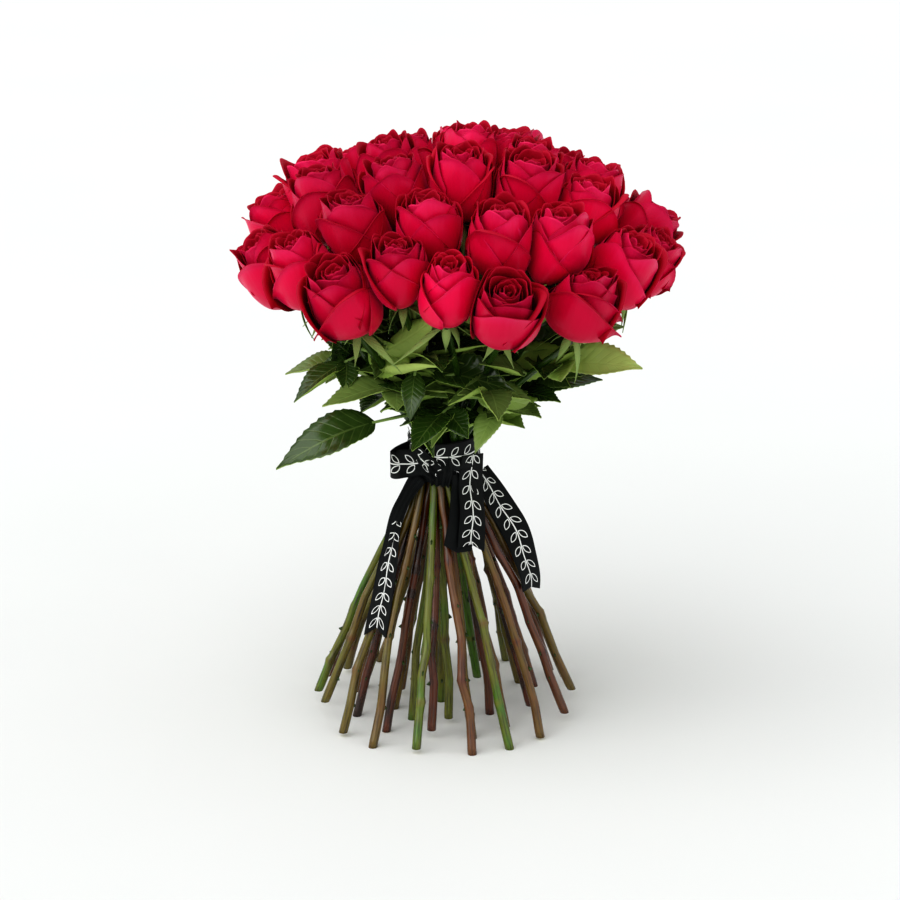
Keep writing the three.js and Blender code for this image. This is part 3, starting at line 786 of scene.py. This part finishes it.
def make_thorns(group, points, runs, nodes):
    """Thorns and bud scars: short hooked cones on the nodes, clear of the tie and the bloom."""
    for run in nodes:
        if run > runs[-1] - 60:
            continue
        index = int(np.argmin(np.abs(runs - run)))
        height = points[index][2]
        if BAND_LOW - 14 < height < BAND_HIGH + 10:
            continue
        way = unit(points[min(index + 1, len(points) - 1)] - points[max(index - 1, 0)])
        outward = at_azimuth(1, looks.uniform(0, 360), 0)
        outward = unit(outward - way * (outward @ way))
        across = np.cross(way, outward)
        half = bark_half(height)
        bm, tone = new_shape()
        cone(bm, 5, 0.12, 1)
        tall = looks.uniform(1.2, 3.8)
        for vert in bm.verts:
            lift = (vert.co.z + 0.5) * tall
            wide = 1.5 if vert.co.z < 0 else 1
            vert.co = (points[index] + outward * (half * 0.85 + lift) + across * vert.co.x * 1.1
                       + way * (vert.co.y * 1.9 * wide - 0.3 * lift))
            vert[tone] = 0.05
        take_in(group, bm)


# ---------- sepals and leaves

SEPAL, LEAF = 0, 2  # places of the upper finishes, each with its underside next
SEPALS = 5
SEPAL_ROWS = 9
LEAF_ROWS = 26


def dress(verts, tone, shade, finish):
    for face in faces_of(verts):
        face.material_index = finish
    for vert in verts:
        vert[tone] = shade


def make_sepals(bm, rose, tone):
    """Five narrow sepals that fold back from the top of the hip and curl at their tips."""
    axis = rose["axis"]
    root = rose["base"] - 3.4 * axis
    side = unit(np.cross((0, 0, 1), axis))
    away = np.cross(axis, side)
    for index in range(SEPALS):
        turn = math.radians(rose["spin"] + index * 360 / SEPALS + spread(14))
        outward = side * math.cos(turn) + away * math.sin(turn)
        across = np.cross(axis, outward)
        length = looks.uniform(36, 56) if looks.random() < 0.26 else looks.uniform(17, 31)
        droop = math.radians(looks.uniform(20, 70))
        bend = math.radians(spread(45) + 10)
        twist = spread(0.8)
        verts, u, v = grid(bm, 2, SEPAL_ROWS)
        angle = droop + bend * v
        # the middle line bends evenly, so its points are the sums of short steps
        bends = droop + bend * np.linspace(0, 1, SEPAL_ROWS + 1)
        steps = np.stack([np.cos(bends), -np.sin(bends)]) * (length / SEPAL_ROWS)
        line = np.concatenate([np.zeros((2, 1)), np.cumsum(steps, axis=1)], axis=1)
        out, low = (np.interp(v * SEPAL_ROWS, range(SEPAL_ROWS + 2), way) for way in line)
        half = 4.6 * np.sin(math.pi * np.clip(v * 0.84 + 0.16, 0, 1)) ** 0.9 * (1 - v) ** 0.8 + 0.3
        cup = 0.5 * np.abs(u) * half
        points = (root + np.outer(out + 3.6, outward) + np.outer(low, axis)
                  + np.outer(u * half * np.cos(twist * v), across)
                  + np.outer(cup * np.cos(angle) + u * half * np.sin(twist * v), axis))
        set_points(verts, points)
        dress(verts, tone, looks.uniform(0, 0.5), SEPAL)


def make_leaflet(bm, tone, start, way, length, width, droop, roll, shade):
    """A pointed oval blade with saw-toothed edges, folded along its rib and arched over."""
    verts, u, v = grid(bm, 6, LEAF_ROWS)
    across = unit(np.cross(way, (0, 0, 1)))
    up = unit(np.cross(across, way))
    across, up = (across * math.cos(roll) + up * math.sin(roll),
                  up * math.cos(roll) - across * math.sin(roll))
    oval = np.clip(np.sin(math.pi * np.clip(v, 0.001, 0.999) ** 0.82), 0, 1)
    half = width / 2 * oval ** (0.72 + 0.5 * v) + 0.3
    tooth = (np.round(v * LEAF_ROWS) % 2) * (np.abs(u) > 0.95) * np.clip(6 * v * (1 - v) * 2, 0, 1)
    half = half * (1 + 0.07 * tooth)
    fold = looks.uniform(0.1, 0.28)
    wave = looks.uniform(0, 2 * math.pi)
    forward = v + tooth * 0.35 / LEAF_ROWS
    # folded along its rib, arched over, waved at its edges and puckered between its side veins
    puckers = np.sin(math.pi * 9 * (v - 0.21 * np.abs(u)))
    lift = (fold * half * np.abs(u) ** 1.2 - droop * length * forward ** 2
            + 0.035 * width * np.sin(9 * v + wave) * np.abs(u) ** 2
            + 0.01 * width * puckers * np.abs(u) * (1 - np.abs(u)) * 4)
    # one edge is rolled up
    margin = looks.choice((-1, 1))
    rolled = looks.uniform(0, 0.8) * np.clip((margin * u - 0.6) * 2.5, 0, 1) ** 2 * np.clip(v * 3, 0, 1)
    lift += rolled * half * 0.7
    bend = spread(0.12) * length * v ** 2
    points = (start + np.outer(length * forward, way) + np.outer(u * half * (1 - 0.4 * rolled) + bend, across)
              + np.outer(lift, up))
    set_points(verts, points)
    dress(verts, tone, shade, LEAF)


def make_stalk(bm, tone, start, end, half):
    """A leaf's round stalk, thinner at its end."""
    way = unit(end - start)
    across = unit(np.cross(way, (0, 0, 1)))
    up = np.cross(across, way)
    verts = cone(bm, 6, 0.7, 1)
    for vert in verts:
        place = start + (end - start) * (vert.co.z + 0.5)
        vert.co = place + half * (across * vert.co.x + up * vert.co.y)
    dress(verts, tone, 0.2, SEPAL)


def root_on(rose, height):
    """The point of a stem's centre line at a height."""
    stations = [at_azimuth(*station) for station in rose["route"]]
    upper = next(i for i, p in enumerate(stations) if p[2] > height)
    low, high = stations[upper - 1], stations[upper]
    return low + (high - low) * (height - low[2]) / (high[2] - low[2])


def make_leaf(bm, tone, rose, height, rise, turn, length, droop, leaflets, stalk_share=0.42, turned=0.0):
    """A leaf: a stalk out of the stem with one leaflet at its tip, and one at each side where it has three.
    Turned is the chance that it shows its underside."""
    root = root_on(rose, height)
    azimuth = azimuth_of(root) + turn
    forward = leaning(azimuth, 90 - rise)
    stalk = stalk_share * length
    tip = root + forward * stalk
    shade = PALENESS.get((rose["slot"], height), 0.8 * looks.random() ** 3)
    make_stalk(bm, tone, root, tip, 1.3)
    # the upper face turns a little to the front
    roll = spread(0.3) - 0.5 * math.sin(math.radians(azimuth)) + (2.4 if looks.random() < turned else 0)
    roll += ROLLS.get((rose["slot"], height), 0)
    make_leaflet(bm, tone, tip - 3 * forward, forward, length, length * 0.49, droop, roll, shade)
    fork = root + forward * stalk * 0.8
    for hand in (-1, 1) if leaflets > 1 else ():
        way = leaning(azimuth + 62 * hand, 90 - rise + 6)
        make_leaflet(bm, tone, fork, way, length * 0.66, length * 0.37, droop * 0.8,
                     roll - 0.2 * hand + spread(0.2), shade)


LEAF_TRIES = 12  # draws for each leaf before it is left out


def fill_with_leaves(bm, tone, rose, count):
    """More single leaves on a stem. Those of the rim lie along the collar that the leaves make under the
    blooms, and those of the other stems stand up between the blooms."""
    rim = rose["level"] == 3
    for _ in range(count):
        for _ in range(LEAF_TRIES):
            height = looks.uniform(266, 350) if rim else looks.uniform(300, 375)
            rise = looks.uniform(-20, 35) if rim else looks.uniform(0, 60)
            turn = looks.choice((-1, 1)) * (looks.uniform(30, 110) if rim else looks.uniform(0, 180))
            length, droop = looks.uniform(48, 76), looks.uniform(0.1, 0.42)
            root = root_on(rose, height)
            azimuth = azimuth_of(root) + turn
            tip = root + leaning(azimuth, 90 - rise) * length * 1.15 - np.array([0, 0, droop * length])
            reach = math.hypot(tip[0], tip[1])
            top = 395 - 0.2 * reach if rim else 452 - 0.35 * reach
            if 256 + 0.2 * reach < tip[2] < top and reach < 72 + 0.75 * (tip[2] - BAND_HIGH):
                make_leaf(bm, tone, rose, height, rise, turn, length, droop, 1, 0.2, 0.2)
                break


def make_group(name, members, extra, bark, foliage):
    """The bark and the foliage of stems that lie side by side in the tie."""
    bm, _ = new_shape()
    for rose in members:
        make_stem(bm, rose)
    make_piece(name + "_bark", bm, bark, [name])
    bm, tone = new_shape()
    for rose in members:
        make_sepals(bm, rose, tone)
        if rose["level"] == 3:
            for slot, *leaf in LEAVES + SMALL_LEAVES:
                if slot == rose["slot"]:
                    make_leaf(bm, tone, rose, *leaf)
        fill_with_leaves(bm, tone, rose, extra)
    piece = make_piece(name + "_foliage", bm, foliage, [name])
    thicken(piece, -1)


# ---------- ribbon

RIBBON_ROWS = 60
RIBBON_COLUMNS = 12
VINE_SWAY = 0.7
PLAIN = -90  # a start so far before the print that none shows
TAIL_TILT = 78  # from upright, so that the hanging ends look up a little


def stems_outside(height):
    """The radius of the stems' outside, at the tie or below it."""
    ring = STEM_RINGS[3]
    drop = max(0, (BAND_LOW - height) / BAND_LOW)
    return ring["waist"] + WAIST_HALF + (ring["foot"] - ring["waist"]) * flare_at(drop)


def make_ribbon(name, path, faces, node, finishes, held, rests_on, widths=(1,), notch=0.0, start=0.0):
    """A strip of ribbon along a path, its face turned to the given ways. Where its width is a smaller share
    it is gathered in pleats. Notch is how deep its end is cut, and start is where it begins on the print."""
    points, length = curve_through(path, RIBBON_ROWS + 1)
    looks_to, _ = curve_through(faces, RIBBON_ROWS + 1)
    along = ways_along(points)
    bm, _ = new_shape()
    uv_layer = bm.loops.layers.uv.active
    verts, u, v = grid(bm, RIBBON_COLUMNS, RIBBON_ROWS)
    spots = np.round(v * RIBBON_ROWS).astype(int)
    normals = looks_to[spots] - along[spots] * np.sum(looks_to[spots] * along[spots], axis=1)[:, None]
    normals /= np.linalg.norm(normals, axis=1)[:, None]
    across = np.cross(along[spots], normals)
    share = np.interp(v, np.linspace(0, 1, len(widths)), widths)
    pleat = RIBBON_WIDTH / 6 * np.sqrt(1 - np.minimum(share, 1) ** 2) * (1 - np.abs((np.abs(u) * 3) % 2 - 1))
    cut = notch * (1 - np.abs(u)) * np.clip((v - 0.75) / 0.25, 0, 1)
    ripple = 0.35 * np.sin(v * length / 7 + 1.5 * u) * np.abs(u)
    set_points(verts, points[spots] + across * (u * share * RIBBON_WIDTH / 2)[:, None]
               + normals * (pleat + ripple)[:, None] - along[spots] * cut[:, None])
    for face in bm.faces:
        for loop in face.loops:
            place = loop[uv_layer].uv
            run = place.y * length + start
            loop[uv_layer].uv = ((place.x - 0.5) * RIBBON_WIDTH + VINE_SWAY * math.sin(0.13 * run), run)
    piece = make_piece(name, bm, finishes, [node])
    thicken(piece, 0)


def make_band(finishes):
    """Two turns of ribbon round the waist, the fold that stands out at the left and the knot in front."""
    waist = ["stems_outer_a_bark", "stems_outer_f_bark"]
    turns = np.linspace(0, 360, 41)

    def near(turn, middle, width):
        """1 at an azimuth and less away from it."""
        return math.exp(-(((turn - middle + 180) % 360 - 180) / width) ** 2)

    lower = [at_azimuth(28.9, turn + 20, BAND_LOW + 13) for turn in turns]
    make_ribbon("ribbon_wrap_lower", lower, [at_azimuth(1, turn + 20, 0) for turn in turns], "ribbon_band",
                finishes, "stretched", waist)
    # the upper turn lies over the lower one and stands out over the knot
    around = turns + 60
    upper = [at_azimuth(29.7 + 4.6 * near(turn, 354, 20), turn, BAND_HIGH - 12.5 - 2.5 * near(turn, 300, 25))
             for turn in around]
    make_ribbon("ribbon_wrap_upper", upper, [at_azimuth(1, turn, 0.1) for turn in around], "ribbon_band",
                finishes, "stretched", waist, start=4)
    fold = [(-20, -25.5, 233), (-28, -22, 231), (-36, -20.5, 230), (-43, -20.2, 229), (-46.6, -17.6, 229),
            (-45, -15, 230), (-38, -12.5, 232), (-27, -9, 235)]
    face = [(-0.3, -1), (-0.25, -1), (0, -1), (-0.3, -1), (-1, 0), (-0.3, 1), (-0.2, 1), (-0.3, 1)]
    make_ribbon("ribbon_fold", fold, [(x, y, 0) for x, y in face], "ribbon_band", finishes, "folded",
                ["ribbon_wrap_lower"], start=3)
    knot = [(-5, -30.4, 238), (-4, -32.2, 233), (-3.4, -32.9, 226), (-3.8, -32, 220), (-4, -30.2, 214)]
    make_ribbon("ribbon_knot", knot, [(-0.1, -1, up) for up in (0.4, 0.2, 0, -0.2, -0.3)], "ribbon_band",
                finishes, "gathered", ["ribbon_wrap_lower"], widths=(0.7, 0.8, 0.6), start=PLAIN)
    cross = [(-88, 247), (-66, 243), (-44, 238), (-24, 232), (-8, 226)]
    path = [at_azimuth(31 + 2.4 * math.sin(math.radians(turn + 90)) ** 2, turn, height)
            for turn, height in cross]
    make_ribbon("ribbon_wrap_cross", path, [at_azimuth(1, turn, 0) for turn, _ in cross], "ribbon_band",
                finishes, "stretched", ["ribbon_wrap_lower"], widths=(0.95, 0.9, 0.6), start=2)


def make_tail(name, stations, node, finishes, **shape):
    """A hanging end, through stations of azimuth, distance off the stems, height and where its face looks."""
    path = [at_azimuth(stems_outside(height) + off, azimuth, height) for azimuth, off, height, _ in stations]
    faces = [leaning(face, TAIL_TILT) for *_, face in stations]
    make_ribbon(name, path, faces, node, finishes, "hung", ["ribbon_wrap_lower", "ribbon_wrap_upper"],
                **shape)


# ---------- the bunch

make_camera()
make_studio()

roses = lay_out_roses()
for rose in roses:
    rose["route"] = stem_route(rose)

# each ramp runs from base to rim; its dark first colours are painted shade for the bloom's deep inside
petals = [
    petal_finish("rose_petal_satin", ("#b00434", "#dc0c48", "#ec1054", "#f43070"), 0.36, 0.6),
    petal_finish("rose_petal_velvet", ("#440012", "#86001a", "#b4082a", "#c01236"), 0.6, 0.1),
]
bark = [stem_finish(), pith_finish()]
foliage = [
    leaf_finish("rose_sepal_green", "#6c8a3c", "#84a04a", "#a08a5c", 0.55, 0.3),
    leaf_finish("rose_sepal_under", "#8aa660", "#9ab46c", "#b0c482", 0.65, 0.25),
    leaf_finish("rose_leaf_waxy", "#1c3010", "#3e5c24", "#cbe48c", 0.2, 0.8),
    leaf_finish("rose_leaf_under", "#84a04c", "#98b05a", "#bcca7c", 0.5, 0.35),
]
printed = [ribbon_finish("taffeta_ribbon_print", 1.0), ribbon_finish("taffeta_ribbon_reverse", 0.0)]

for number, rose in enumerate(roses, 1):
    make_bloom(rose, roses, f"bloom_{number:02d}", petals)

make_group("stems_heart", [r for r in roses if r["level"] < 2], 4, bark, foliage)
for level, word, extra in ((2, "inner", 7), (3, "outer", 4)):
    first = 0
    for letter, size in zip("abcdef", STEM_RINGS[level]["groups"]):
        members = [r for r in roses if r["level"] == level and first <= r["slot"] < first + size]
        make_group(f"stems_{word}_{letter}", members, extra, bark, foliage)
        first += size

make_band(printed)
make_tail("ribbon_tail_left_hanging", [(-44, 0.8, 219, -46), (-58, 1.6, 204, -52), (-62, 2.5, 182, -50),
                                       (-53, 3, 153, -46), (-47, 3, 120, -42), (-43, 4, 88, -40)],
          "ribbon_tail_left", printed, widths=(0.7, 0.6, 0.8, 0.95, 1, 1), notch=8, start=-47)
make_tail("ribbon_tail_middle_hanging", [(50, 3, 238, 42), (44, 3.2, 213, 36), (34, 3, 188, 28),
                                         (24, 4, 162, 22)],
          "ribbon_tail_middle", printed, notch=5, start=9)
make_tail("ribbon_tail_middle_behind", [(34, 0.6, 222, 34), (30, 1.4, 206, 30), (20, 1.6, 184, 22),
                                        (12, 2.4, 164, 16)],
          "ribbon_tail_middle", printed, notch=-4, start=PLAIN)
make_tail("ribbon_tail_right_hanging", [(84, 2.2, 217, 50), (83, 8, 192, 30), (79, 13, 166, 18),
                                        (74, 13.5, 146, 18), (71, 12.5, 130, 34), (69, 9, 117, 56)],
          "ribbon_tail_right", printed, widths=(0.8, 1, 1, 1), notch=3, start=1)
